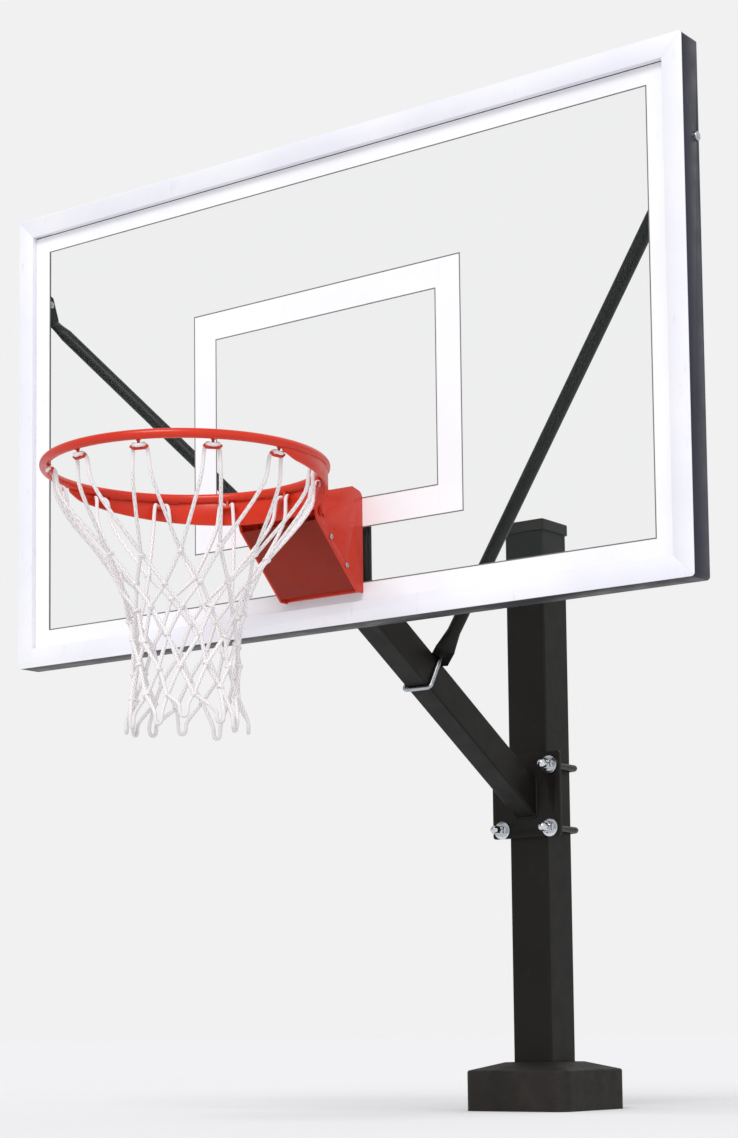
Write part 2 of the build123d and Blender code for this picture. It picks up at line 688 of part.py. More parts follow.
def make_spring_bridge():
    """Angle fixed to the back plate, which the springs push against."""
    half = HOUSING_HALF - HOUSING_WALL - 12
    back = GLASS_FRONT - BACK_PLATE_THICK
    front = back - BRIDGE_DEPTH
    bridge = block(-half, half, front, back, BRIDGE_LOW, BRIDGE_LOW + BRIDGE_THICK)
    seat = PIVOT + TAIL_RUN * SPRING_REACH
    for x in (-SPRING_X, SPRING_X):
        bridge -= bar_z(GUIDE_R + 0.3, x, seat.Y, BRIDGE_LOW - 1, BRIDGE_LOW + 10)
    return bridge


def make_stop_bar():
    half = HOUSING_HALF - HOUSING_WALL
    front = GLASS_FRONT - 125.7
    return block(-half, half, front, front + 8, RIM_Z - 20, RIM_Z - 10)


def make_guide_bolts():
    bolts = []
    seat = PIVOT + TAIL_RUN * SPRING_REACH
    top = BRIDGE_LOW + BRIDGE_THICK
    for x in (-SPRING_X, SPRING_X):
        bolt = bar_z(GUIDE_R, x, seat.Y, seat.Z - 16, top) + bar_z(7, x, seat.Y, top, top + 5)
        bolts.append(bolt)
    return bolts


def spring_foot():
    return PIVOT_Z - SPRING_REACH * math.sin(TAIL_FALL) + SPRING_SEAT_LIFT


def make_springs():
    springs = []
    seat = PIVOT + TAIL_RUN * SPRING_REACH
    low, high = spring_foot() + SPRING_WIRE, BRIDGE_LOW - SPRING_WIRE - 0.1
    for x in (-SPRING_X, SPRING_X):
        coil = Helix((high - low) / SPRING_TURNS, high - low, SPRING_R, center=(x, seat.Y, low))
        start = Plane(origin=coil @ 0, z_dir=coil % 0)
        springs.append(sweep(start * Circle(SPRING_WIRE), path=coil, is_frenet=True))
    return springs


# ---- rim and net --------------------------------------------------------------
def make_rim_rod():
    return Pos(0, RIM_Y, RIM_Z) * Torus(RIM_R, RIM_ROD_R)


def make_rim_band():
    """Band under the rear half of the rod, deepest at the board and curved up at its ends."""
    top = RIM_Z - RIM_ROD_R + 0.5
    tall = bar_z(RIM_R + BAND_THICK, 0, RIM_Y, top - 60, top)
    tall -= bar_z(RIM_R, 0, RIM_Y, top - 61, top + 1)
    end_y = RIM_Y - 34
    side_low = top - BAND_SIDE_DEPTH
    rear_y = RIM_Y + RIM_R + BAND_THICK
    curl = Spline((0, end_y, top), (0, end_y + 9, top - 8), (0, end_y + 38, side_low - 2),
                  tangents=[(0, 0.2, -1), (0, 1, -0.12)])
    edges = [curl, Line((0, end_y + 38, side_low - 2), (0, rear_y + 5, top - BAND_REAR_DEPTH)),
             Line((0, rear_y + 5, top - BAND_REAR_DEPTH), (0, rear_y + 5, top)),
             Line((0, rear_y + 5, top), (0, end_y, top))]
    profile = make_face(Wire(edges))
    reach = RIM_R + 20
    return tall & Pos(-reach, 0, 0) * extrude(profile, amount=2 * reach, dir=(1, 0, 0))


def hook_angles():
    return [HOOK_FIRST_ANGLE + 360 / HOOK_COUNT * step for step in range(HOOK_COUNT)]


def make_net_hooks():
    """T-shaped hooks under the rod, each with a leaning stem and a bar turned up at its ends."""
    hooks = []
    low = -RIM_ROD_R - HOOK_DROP
    high = low + HOOK_TURN_UP
    half = HOOK_WIDTH / 2
    straight = half - HOOK_TURN_UP - 1
    foot, root = Vector(HOOK_RING_R, 0, low), Vector(RIM_R - HOOK_ROOT, 0, -HOOK_ROOT)
    for angle in hook_angles():
        path = [(HOOK_RING_R, -half, high), (HOOK_RING_R, -straight, low),
                (HOOK_RING_R, straight, low), (HOOK_RING_R, half, high)]
        hook = u_bolt(path, 5, HOOK_R) + bar_between(HOOK_R, foot, root)
        hooks.append(Pos(0, RIM_Y, RIM_Z) * Rot(0, 0, angle) * hook)
    return hooks


def make_net():
    outer = [(radius, -drop) for radius, drop in NET_PROFILE]
    inner = [(radius - NET_WALL, level) for radius, level in reversed(outer)]
    outline = Polyline(*[(radius, 0, level) for radius, level in outer + inner], close=True)
    shell = revolve(make_face(outline), axis=Axis.Z)
    return Pos(0, RIM_Y, RIM_Z) * shell


# ---- write each node ----------------------------------------------------------
def save(name, shape):
    """One STEP file for a node; a list becomes a group of separate solids."""
    if isinstance(shape, list):
        solids = [solid for piece in shape for solid in piece.solids()]
        shape = Compound(children=solids)
    shape.label = name
    export_step(shape, f"parts/{name}.step")


save("base_plate", make_base_plate())
save("base_cover", make_base_cover())
save("post_tube", make_post_tube())
save("post_cap", make_post_cap())
save("clamp_plate", make_clamp_plate())
save("arm_tube", make_arm_tube())
save("carrier_plate", make_carrier_plate())
save("carrier_pad", make_carrier_pad())
save("post_u_bolt_lower", make_post_u_bolt(POST_BOLT_LEVELS[0]))
save("post_u_bolt_upper", make_post_u_bolt(POST_BOLT_LEVELS[1]))
save("clamp_washers", make_clamp_washers())
save("dome_nuts", make_dome_nuts())
save("strut_left", make_strut(-1))
save("strut_right", make_strut(1))
save("strut_u_bolt", make_strut_u_bolt())
save("strut_nuts", make_strut_nuts())
save("strut_top_bolts", make_strut_top_bolts())
save("strut_top_nuts", make_strut_top_nuts())
save("glass_panel", make_glass())
save("glass_bushes", make_glass_bushes())
save("glass_seal", make_glass_seal())
for side_name, member in make_frame_sides().items():
    save(f"frame_{side_name}", member)
for side_name, member in make_trim_sides().items():
    save(f"trim_{side_name}", member)
save("corner_keys", make_corner_keys())
save("housing_back", make_back_plate())
save("housing_side_left", make_side_plate(-1))
save("housing_side_right", make_side_plate(1))
save("spring_cover", make_spring_cover())
save("cover_screws", make_cover_screws())
save("rim_bolts", make_rim_bolts())
save("rim_nuts", make_rim_nuts())
save("hinge_pin", make_hinge_pin())
save("pin_clips", make_pin_clips())
save("stop_bar", make_stop_bar())
save("spring_bridge", make_spring_bridge())
save("guide_bolts", make_guide_bolts())
save("springs", make_springs())
save("rim_rod", make_rim_rod())
save("rim_band", make_rim_band())
save("rim_carrier", make_rim_carrier())
save("net_hooks", make_net_hooks())
save("net", make_net())
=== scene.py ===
import json
import math
import random

import bpy
from mathutils import Matrix, Vector

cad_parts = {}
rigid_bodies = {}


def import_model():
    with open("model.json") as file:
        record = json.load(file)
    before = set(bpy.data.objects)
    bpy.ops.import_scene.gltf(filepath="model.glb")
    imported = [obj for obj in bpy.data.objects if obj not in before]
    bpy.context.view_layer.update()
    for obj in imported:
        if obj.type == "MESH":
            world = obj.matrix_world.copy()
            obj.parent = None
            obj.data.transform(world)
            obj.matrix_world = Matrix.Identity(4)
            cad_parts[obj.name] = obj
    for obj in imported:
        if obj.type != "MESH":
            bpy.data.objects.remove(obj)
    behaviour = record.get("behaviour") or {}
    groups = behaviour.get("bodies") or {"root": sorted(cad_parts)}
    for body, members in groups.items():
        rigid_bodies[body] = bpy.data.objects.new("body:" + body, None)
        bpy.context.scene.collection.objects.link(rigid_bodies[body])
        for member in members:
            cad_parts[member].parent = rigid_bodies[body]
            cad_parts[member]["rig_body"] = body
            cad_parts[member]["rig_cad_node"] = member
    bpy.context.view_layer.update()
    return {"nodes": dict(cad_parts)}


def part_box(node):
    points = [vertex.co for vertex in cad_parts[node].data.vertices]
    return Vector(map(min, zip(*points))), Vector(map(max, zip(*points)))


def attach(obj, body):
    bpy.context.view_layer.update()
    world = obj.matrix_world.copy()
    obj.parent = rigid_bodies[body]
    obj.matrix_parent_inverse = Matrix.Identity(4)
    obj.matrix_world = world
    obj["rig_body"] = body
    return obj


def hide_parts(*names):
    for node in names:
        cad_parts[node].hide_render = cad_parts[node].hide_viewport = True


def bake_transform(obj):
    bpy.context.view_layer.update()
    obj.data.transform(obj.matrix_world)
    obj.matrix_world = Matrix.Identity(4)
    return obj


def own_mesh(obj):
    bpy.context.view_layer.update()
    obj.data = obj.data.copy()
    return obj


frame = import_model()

bl_info = {
    "name": "Deck-mounted basketball hoop",
    "version": (1, 0, 0),
    "blender": (4, 5, 0),
    "location": "View3D > Sidebar > Hoop",
    "description": "Paint, net, springs, welds and finishes around the hoop's frame",
    "category": "Object",
}

# ---- places taken from the frame ----------------------------------------------
MM = 0.001
NODES = frame["nodes"]
SLOT_OF = {name: node.data.materials[0].name for name, node in NODES.items()}
BODY_OF = {name: node["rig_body"] for name, node in NODES.items()}

FRAME_LOW, FRAME_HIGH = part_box("frame_left")[0].copy(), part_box("frame_right")[1].copy()
GLASS_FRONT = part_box("glass_panel")[0].y
ROD_LOW, ROD_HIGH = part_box("rim_rod")
RIM = (ROD_LOW + ROD_HIGH) / 2
ROD_R = (ROD_HIGH.z - ROD_LOW.z) / 2
RIM_R = (ROD_HIGH.x - ROD_LOW.x) / 2 - ROD_R

# Net hooks: bars that stand inside the rod
HOOK_COUNT = 12
HOOK_FIRST = math.radians(-8.0)
HOOK_STEP = 2 * math.pi / HOOK_COUNT
HOOK_RING_R = 226.5 * MM
HOOK_BAR_R = 2.5 * MM
HOOK_BAR_DROP = RIM.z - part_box("net_hooks")[0].z - HOOK_BAR_R
HOOK_ROOT = 5.6 * MM

# Arm and bolts
ARM_FALL = math.radians(31.0)
RIM_BOLT_X = 63.5 * MM
RIM_BOLT_R = 5.0 * MM
RIM_NUT_HALF = 10.5 * MM        # half a nut's box, from its edge to the bolt's axis
STRUT_BOLT_R = 4.0 * MM

TUBE_ROUND = 2                  # curve bevel steps; gives eight sides


# ---- helpers --------------------------------------------------------------------
def deselect():
    """Object mode with nothing selected."""
    if bpy.context.object and bpy.context.object.mode != "OBJECT":
        bpy.ops.object.mode_set(mode="OBJECT")
    bpy.ops.object.select_all(action="DESELECT")


def activate(*pieces):
    """Selects these pieces alone; the first is active."""
    deselect()
    for piece in pieces:
        piece.select_set(True)
    bpy.context.view_layer.objects.active = pieces[0]


def settle(piece):
    """Puts a piece's place, turn and size into its mesh."""
    activate(piece)
    bpy.ops.object.transform_apply(location=True, rotation=True, scale=True)


def apply_modifiers(piece):
    activate(piece)
    for modifier in list(piece.modifiers):
        bpy.ops.object.modifier_apply(modifier=modifier.name)


def copy_of(piece, matrix):
    """A copy with its own mesh, placed by a matrix."""
    activate(piece)
    bpy.ops.object.duplicate(linked=False)
    made = bpy.context.object
    made.matrix_world = matrix @ made.matrix_world
    settle(made)
    return made


def joined(pieces):
    """The pieces as one mesh."""
    if len(pieces) > 1:
        activate(*pieces)
        bpy.ops.object.join()
    return pieces[0]


def finished(piece, name, material, body=None, smooth=35.0):
    """Names a piece, gives it its material and smooth shading, and rides it on its body."""
    settle(piece)
    bpy.ops.object.shade_smooth_by_angle(angle=math.radians(smooth))
    piece.name = name
    piece.data.name = name
    piece.data.materials.clear()
    piece.data.materials.append(bpy.data.materials[material])
    if body:
        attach(piece, body)
    return piece


def tube_along(points, radius, cyclic=False, shares=None, order=2):
    """A round tube along points. shares scales the radius at each point."""
    line = bpy.data.curves.new("line", "CURVE")
    line.dimensions = "3D"
    line.bevel_depth = radius
    line.bevel_resolution = TUBE_ROUND
    line.use_fill_caps = not cyclic
    line.resolution_u = 1 if order == 2 else 4
    spline = line.splines.new("POLY" if order == 2 else "NURBS")
    spline.points.add(len(points) - 1)
    for index, point in enumerate(points):
        spline.points[index].co = (*point, 1.0)
        spline.points[index].radius = shares[index] if shares else 1.0
    if order > 2:
        spline.order_u = order
    spline.use_cyclic_u = cyclic
    piece = bpy.data.objects.new("line", line)
    bpy.context.scene.collection.objects.link(piece)
    activate(piece)
    bpy.ops.object.convert(target="MESH")
    return bpy.context.object


def close_ends(piece):
    """Caps a wound piece's open ends and turns its faces outwards."""
    activate(piece)
    bpy.ops.object.mode_set(mode="EDIT")
    bpy.ops.mesh.select_all(action="SELECT")
    bpy.ops.mesh.fill_holes(sides=0)
    bpy.ops.mesh.select_all(action="SELECT")
    bpy.ops.mesh.normals_make_consistent(inside=False)
    bpy.ops.object.mode_set(mode="OBJECT")


def stretch_uv(piece, length):
    """Makes the map's first axis run in metres along a tube of that length."""
    for corner in piece.data.uv_layers[0].data:
        corner.uv = (corner.uv[0] * length, corner.uv[1])


def turned(angle, radius, sideways, drop):
    """A point near the rim: round it, out from its centre, along its line and below it."""
    out = Vector((math.cos(angle), math.sin(angle), 0))
    along = Vector((-math.sin(angle), math.cos(angle), 0))
    return RIM + out * radius + along * sideways - Vector((0, 0, drop))


# ---- materials ------------------------------------------------------------------
MIX_FIRST, MIX_SECOND = 6, 7    # the colour sockets of a mix node
MIX_RESULT = 2

# Noise of each finish: scale, detail, roughness and stretch
PAINT_DRIFT = (5.0, 4.0)
PAINT_SCUFFS = (60.0, 6.0, 0.65, (1.0, 1.0, 0.25))
PAINT_GLOSS = (28.0, 5.0)
PAINT_PEEL = (620.0, 2.0)
METAL_HANDLING = (90.0, 4.0)
METAL_GLOSS = (220.0, 4.0)
METAL_GRAIN = (900.0, 3.0)
MOULD_DRIFT = (9.0, 4.0)
MOULD_DUST = (22.0, 6.0, 0.6)
MOULD_GLOSS = (40.0, 4.0)
CORD_SOIL = (18.0, 5.0)

# Where in its noise a scuff or a soiled patch starts, and where it is full
SCUFFED = (0.62, 0.80)
SOILED = (0.5, 0.8)

# How deep the relief of each finish is
PEEL_DEPTH = 0.35 * MM
GRAIN_DEPTH = 0.12 * MM
PEBBLE_DEPTH = 0.25 * MM
BRAID_DEPTH = 0.5 * MM
GLASS_WAVE = 0.5 * MM


def linear(red, green, blue):
    """A display colour out of 255 as the linear colour that shaders use."""
    shares = [value / 255 for value in (red, green, blue)]
    return tuple(v / 12.92 if v < 0.04045 else ((v + 0.055) / 1.055) ** 2.4 for v in shares) + (1.0,)


class Finish:
    """A material on the Principled shader, built up layer by layer on object coordinates."""

    def __init__(self, name, sockets):
        self.material = bpy.data.materials.new(name)
        self.material.use_nodes = True
        self.tree = self.material.node_tree
        self.shader = self.tree.nodes["Principled BSDF"]
        for socket, value in sockets.items():
            self.shader.inputs[socket].default_value = value
        self.place = self.node("ShaderNodeTexCoord").outputs["Object"]

    def node(self, kind, values=None, **settings):
        made = self.tree.nodes.new(kind)
        for key, value in settings.items():
            setattr(made, key, value)
        for key, value in (values or {}).items():
            made.inputs[key].default_value = value
        return made

    def link(self, start, end):
        self.tree.links.new(start, end)

    def noise(self, scale, detail=3.0, roughness=0.5, stretch=None):
        """Noise over the piece; stretch draws it out along an axis."""
        made = self.node("ShaderNodeTexNoise", {"Scale": scale, "Detail": detail, "Roughness": roughness})
        place = self.place
        if stretch:
            mapping = self.node("ShaderNodeMapping", {"Scale": stretch})
            self.link(place, mapping.inputs["Vector"])
            place = mapping.outputs["Vector"]
        self.link(place, made.inputs["Vector"])
        return made.outputs["Fac"]

    def ranged(self, source, low, high, from_low=0.3, from_high=0.7):
        """The source's middle range stretched to run from low to high."""
        made = self.node("ShaderNodeMapRange", {
            "From Min": from_low, "From Max": from_high, "To Min": low, "To Max": high})
        self.link(source, made.inputs["Value"])
        return made.outputs["Result"]

    def colours(self, source, first, second):
        """Colour that runs from first to second with the source."""
        mix = self.node("ShaderNodeMix", data_type="RGBA")
        self.link(source, mix.inputs["Factor"])
        mix.inputs[MIX_FIRST].default_value = first
        mix.inputs[MIX_SECOND].default_value = second
        self.link(mix.outputs[MIX_RESULT], self.shader.inputs["Base Color"])
        return mix.outputs[MIX_RESULT]

    def tint_over(self, below, source, colour):
        """A second colour laid over the first where the source is high."""
        mix = self.node("ShaderNodeMix", data_type="RGBA")
        self.link(source, mix.inputs["Factor"])
        self.link(below, mix.inputs[MIX_FIRST])
        mix.inputs[MIX_SECOND].default_value = colour
        self.link(mix.outputs[MIX_RESULT], self.shader.inputs["Base Color"])

    def roughness(self, source, low, high):
        self.link(self.ranged(source, low, high), self.shader.inputs["Roughness"])

    def relief(self, source, strength, depth):
        """Fine relief in the surface; depth in metres."""
        bump = self.node("ShaderNodeBump", {"Strength": strength, "Distance": depth})
        self.link(source, bump.inputs["Height"])
        self.link(bump.outputs["Normal"], self.shader.inputs["Normal"])


def sprayed_coat(name, colour, other, rough, peel, scuff, sockets):
    """Sprayed or powdered paint: orange peel, a slow drift of tone and faint scuffs."""
    finish = Finish(name, sockets)
    drift = finish.ranged(finish.noise(*PAINT_DRIFT), 0.0, 1.0)
    body = finish.colours(drift, colour, other)
    marks = finish.ranged(finish.noise(*PAINT_SCUFFS), 0.0, 0.5, *SCUFFED)
    finish.tint_over(body, marks, scuff)
    finish.roughness(finish.noise(*PAINT_GLOSS), *rough)
    finish.relief(finish.noise(*PAINT_PEEL), peel, PEEL_DEPTH)


def bare_metal(name, colour, other, rough, grain, sockets):
    """Plated or bare metal: crystal mottling and fine handling marks."""
    finish = Finish(name, dict(sockets, Metallic=1.0))
    cells = finish.node("ShaderNodeTexVoronoi", {"Scale": grain})
    finish.link(finish.place, cells.inputs["Vector"])
    tone = finish.node("ShaderNodeMath", operation="MULTIPLY")
    finish.link(cells.outputs["Color"], tone.inputs[0])
    finish.link(finish.noise(*METAL_HANDLING), tone.inputs[1])
    finish.colours(finish.ranged(tone.outputs["Value"], 0.0, 1.0, 0.0, 0.6), colour, other)
    finish.roughness(finish.noise(*METAL_GLOSS), *rough)
    finish.relief(finish.noise(*METAL_GRAIN), 0.10, GRAIN_DEPTH)


def moulded(name, colour, other, rough, pebble, sockets):
    """Moulded plastic or rubber: pebbled grain and a dusty drift of tone."""
    finish = Finish(name, sockets)
    body = finish.colours(finish.ranged(finish.noise(*MOULD_DRIFT), 0.0, 1.0), colour, other)
    dust = finish.ranged(finish.noise(*MOULD_DUST), 0.0, 0.07, *SOILED)
    finish.tint_over(body, dust, linear(112, 106, 98))
    finish.roughness(finish.noise(*MOULD_GLOSS), *rough)
    cells = finish.node("ShaderNodeTexVoronoi", {"Scale": pebble}, feature="SMOOTH_F1")
    finish.link(finish.place, cells.inputs["Vector"])
    finish.relief(cells.outputs["Distance"], 0.35, PEBBLE_DEPTH)


def braided_cord(name, colour, other, lay, around):
    """Braided cord: slanted strands that cross, with painted shade in the grooves between them, on the
    piece's own UV map in metres.
    """
    finish = Finish(name, {"Sheen Weight": 0.25, "Sheen Roughness": 0.5, "Roughness": 0.82})
    uv = finish.node("ShaderNodeTexCoord").outputs["UV"]
    parts = finish.node("ShaderNodeSeparateXYZ")
    finish.link(uv, parts.inputs["Vector"])
    along = finish.node("ShaderNodeMath", {1: 2 * math.pi / lay}, operation="MULTIPLY")
    round_it = finish.node("ShaderNodeMath", {1: 2 * math.pi * around}, operation="MULTIPLY")
    finish.link(parts.outputs["X"], along.inputs[0])
    finish.link(parts.outputs["Y"], round_it.inputs[0])
    waves = []
    for operation in ("ADD", "SUBTRACT"):
        slant = finish.node("ShaderNodeMath", operation=operation)
        finish.link(along.outputs[0], slant.inputs[0])
        finish.link(round_it.outputs[0], slant.inputs[1])
        wave = finish.node("ShaderNodeMath", operation="SINE")
        finish.link(slant.outputs[0], wave.inputs[0])
        waves.append(wave.outputs[0])
    weave = finish.node("ShaderNodeMath", operation="MAXIMUM")
    finish.link(waves[0], weave.inputs[0])
    finish.link(waves[1], weave.inputs[1])
    strands = finish.ranged(weave.outputs[0], 0.0, 1.0, -0.7, 1.0)
    # The darker second colour lies in the grooves between the strands: painted shade.
    body = finish.colours(strands, other, colour)
    soiled = finish.ranged(finish.noise(*CORD_SOIL), 0.0, 0.25, *SOILED)
    finish.tint_over(body, soiled, linear(214, 206, 204))
    finish.relief(strands, 0.6, BRAID_DEPTH)


# ---- settings -------------------------------------------------------------------
def size(label, about, millimetres):
    return bpy.props.FloatProperty(
        name=label, description=about, default=millimetres * MM, min=0.0, unit="LENGTH", precision=4)


def shade(label, about, red, green, blue):
    return bpy.props.FloatVectorProperty(
        name=label, description=about, size=4, min=0.0, max=1.0, subtype="COLOR",
        default=linear(red, green, blue))


class HoopCoatSettings(bpy.types.PropertyGroup):
    post: shade("Post", "Powder coat of the post, arm and struts", 18, 16, 14)
    rim: shade("Rim", "Gloss coat of the rim and its housing", 214, 48, 20)
    lip: shade("Lip", "Coat of the board's front lip and painted lines", 240, 240, 245)
    frame: shade("Frame", "Coat of the board's sides", 31, 32, 48)
    cord: shade("Cord", "Braided cord of the net", 246, 243, 244)


class HoopBoardSettings(bpy.types.PropertyGroup):
    border_side: size("Side border", "Board's edge to the border's inner line, sideways", 76.0)
    border_end: size("End border", "Board's edge to the border's inner line, up and down", 72.5)
    target_width: size("Target width", "Outer width of the shooting square", 609.6)
    target_height: size("Target height", "Outer height of the shooting square", 457.2)
    target_low: size("Target level", "Board's lower edge to the shooting square", 173.0)
    target_line: size("Target line", "Width of the shooting square's line", 50.8)
    outline: size("Outline", "Width of the thin line that edges the paint", 2.2)
    film: size("Paint film", "Thickness of the paint", 0.3)


class HoopNetSettings(bpy.types.PropertyGroup):
    cord: size("Cord", "Thickness of the net's cord", 6.6)
    rows: bpy.props.IntProperty(name="Rows", description="Rows of knots", default=6, min=2)
    first_row: size("First row", "Rim's centre to the first row of knots, downwards", 166.0)
    row_step: size("Row step", "Between one row of knots and the next", 45.0)
    tip: size("Tips", "Rim's centre to the ends of the loops, downwards", 456.0)
    slack: size("Slack", "How far a knot strays from its even place", 7.5)
    seed: bpy.props.IntProperty(name="Seed", description="Seed of the net's uneven hang", default=7)


class HoopMetalSettings(bpy.types.PropertyGroup):
    spring_radius: size("Spring radius", "Middle of the wire round the spring's axis", 9.0)
    spring_wire: size("Spring wire", "Radius of the spring's wire", 1.6)
    spring_turns: bpy.props.IntProperty(
        name="Spring turns", description="Working turns of each spring", default=6, min=2)
    bead: size("Weld bead", "Radius of the weld beads", 3.4)
    ripple: size("Weld ripple", "Length of one ripple of a weld bead", 3.6)
    pitch: size("Thread pitch", "Pitch of the screw threads", 1.25)


class HoopStageSettings(bpy.types.PropertyGroup):
    lens: bpy.props.FloatProperty(
        name="Lens", description="Focal length of the camera", default=75.65, unit="CAMERA")
    shift: bpy.props.FloatProperty(
        name="Shift", description="Upward shift of the camera's view", default=0.2)
    floor: shade("Floor", "Colour of the studio floor", 236, 236, 238)
    sky: bpy.props.FloatProperty(
        name="Room light", description="Strength of the even light all round", default=0.55, min=0.0)
    wall: bpy.props.FloatProperty(
        name="Backdrop", description="Brightness of the empty background", default=0.88, min=0.0)
    key: bpy.props.FloatProperty(
        name="Key light", description="Strength of the main soft light", default=1.9, min=0.0)
    fill: bpy.props.FloatProperty(
        name="Fill lights", description="Strength of the softer side and back lights", default=0.3, min=0.0)


# ---- coats and metals -----------------------------------------------------------
class HoopCoats(bpy.types.Operator):
    """Makes every finish and puts it on the frame's own pieces"""

    bl_idname = "hoop.coats"
    bl_label = "Coats and metals"

    def execute(self, context):
        tones = context.scene.hoop_coats
        post, rim, lip, side = (tuple(c) for c in (tones.post, tones.rim, tones.lip, tones.frame))
        sprayed_coat("black powder", post, linear(25, 23, 20), (0.38, 0.54), 0.16,
                     linear(46, 44, 42), {"Specular IOR Level": 0.2})
        sprayed_coat("red gloss", rim, linear(200, 43, 18), (0.24, 0.38), 0.10, linear(182, 42, 22),
                     {"Specular IOR Level": 0.3, "Coat Weight": 0.12, "Coat Roughness": 0.12})
        # A darker, rougher copy of the red coat for the spring cover; its darker colour is painted shade,
        # as the cover faces down and away from the light.
        sprayed_coat("red satin painted shade", linear(148, 39, 19), linear(132, 35, 17), (0.46, 0.60), 0.20,
                     linear(118, 34, 20), {"Specular IOR Level": 0.2})
        sprayed_coat("white trim", lip, linear(230, 230, 240), (0.30, 0.42), 0.08,
                     linear(196, 196, 204), {"Coat Weight": 0.15, "Coat Roughness": 0.2})
        sprayed_coat("slate trim", side, linear(40, 41, 58), (0.32, 0.46), 0.12,
                     linear(72, 74, 88), {"Specular IOR Level": 0.35})
        # A darker copy of the slate coat for the board's lower rail; its darker colour is painted shade on
        # the rail's downward face.
        sprayed_coat("slate painted shade", linear(18, 18, 25), linear(24, 24, 33), (0.36, 0.50), 0.12,
                     linear(44, 45, 54), {"Specular IOR Level": 0.25})
        sprayed_coat("white ink", linear(246, 246, 249), linear(238, 238, 243), (0.30, 0.40), 0.05,
                     linear(226, 226, 232), {"Specular IOR Level": 0.4})
        sprayed_coat("grey ink", linear(118, 114, 110), linear(104, 101, 98), (0.4, 0.5), 0.05,
                     linear(140, 138, 134), {"Specular IOR Level": 0.3})
        moulded("black plastic", linear(27, 24, 22), linear(38, 34, 31), (0.52, 0.68), 700.0,
                 {"Specular IOR Level": 0.25})
        moulded("black rubber", linear(26, 26, 26), linear(36, 35, 34), (0.72, 0.88), 1100.0, {})
        bare_metal("mirror chrome", linear(226, 228, 232), linear(204, 207, 214), (0.06, 0.16), 300.0, {})
        bare_metal("black zinc", linear(58, 56, 54), linear(82, 80, 76), (0.34, 0.5), 260.0, {})
        bare_metal("bright zinc", linear(200, 204, 206), linear(164, 170, 176), (0.24, 0.4), 240.0, {})
        bare_metal("spring steel", linear(150, 148, 146), linear(110, 108, 106), (0.28, 0.42), 400.0, {})
        bare_metal("mill alloy", linear(196, 198, 200), linear(170, 172, 176), (0.36, 0.52), 160.0, {})
        # The cord's second colour is painted shade in the braid's grooves.
        braided_cord("net braid", tuple(tones.cord), linear(206, 199, 200), 5.2 * MM, 4.0)
        clear = Finish("clear sheet", {"Roughness": 0.02, "IOR": 1.5, "Alpha": 0.022})
        clear.colours(clear.ranged(clear.noise(2.0, 2.0), 0.0, 1.0), linear(126, 146, 141),
                      linear(132, 158, 152))
        clear.relief(clear.noise(6.0, 1.0), 0.03, GLASS_WAVE)
        finish_of = {
            "black_coat": "black powder", "red_coat": "red gloss", "white_coat": "white trim",
            "slate_coat": "slate trim", "black_plastic": "black plastic",
            "black_rubber": "black rubber", "chrome": "mirror chrome", "dark_zinc": "black zinc",
            "bright_zinc": "bright zinc", "spring_steel": "spring steel", "key_alloy": "mill alloy",
            "net_cord": "net braid", "clear_glass": "clear sheet",
        }
        # These two pieces take darker copies of their coats: painted shade.
        own_finish = {"spring_cover": "red satin painted shade", "frame_bottom": "slate painted shade"}
        for name, node in NODES.items():
            finish = own_finish.get(name, finish_of[SLOT_OF[name]])
            node.material_slots[0].material = bpy.data.materials[finish]
        return {"FINISHED"}


# ---- plates with eased edges ----------------------------------------------------
# Width of each round, in millimetres
EASED = {
    "base_plate": 0.8, "clamp_plate": 1.2, "carrier_plate": 1.0, "clamp_washers": 0.4,
    "housing_back": 0.6, "housing_side_left": 0.8, "housing_side_right": 0.8, "spring_cover": 0.5,
    "spring_bridge": 0.6, "stop_bar": 0.8, "rim_carrier": 0.6, "rim_band": 0.7,
    "frame_top": 0.7, "frame_bottom": 0.7, "frame_left": 0.7, "frame_right": 0.7,
    "trim_top": 0.4, "trim_bottom": 0.4, "trim_left": 0.4, "trim_right": 0.4,
    "rim_bolts": 0.4, "rim_nuts": 0.4, "strut_nuts": 0.35, "strut_top_nuts": 0.35,
}
MERGE = 0.005 * MM
FLAT_WITHIN = math.radians(0.5)
SHARP_FROM = math.radians(40.0)


class HoopEasedPlates(bpy.types.Operator):
    """Gives the sawn and folded plates, nuts and trims the small round that their edges have"""

    bl_idname = "hoop.eased_plates"
    bl_label = "Eased plates"

    def execute(self, context):
        for name, width in EASED.items():
            activate(NODES[name])
            bpy.ops.object.duplicate(linked=False)
            piece = bpy.context.object
            # A new piece now, so it drops the mark of the frame's own
            del piece["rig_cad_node"]
            bpy.ops.mesh.customdata_custom_splitnormals_clear()
            bpy.ops.object.mode_set(mode="EDIT")
            bpy.ops.mesh.select_all(action="SELECT")
            bpy.ops.mesh.remove_doubles(threshold=MERGE)
            bpy.ops.mesh.dissolve_limited(angle_limit=FLAT_WITHIN)
            bpy.ops.object.mode_set(mode="OBJECT")
            bevel = piece.modifiers.new("eased", "BEVEL")
            bevel.width = width * MM
            bevel.segments = 2
            bevel.limit_method = "ANGLE"
            bevel.angle_limit = SHARP_FROM
            apply_modifiers(piece)
            material = piece.material_slots[0].material.name
            finished(piece, f"{name}_eased", material, BODY_OF[name])
            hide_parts(name)
        return {"FINISHED"}


# ---- painted border and target --------------------------------------------------
LINE_LIFT = 0.1 * MM            # the thin lines stand proud of the paint


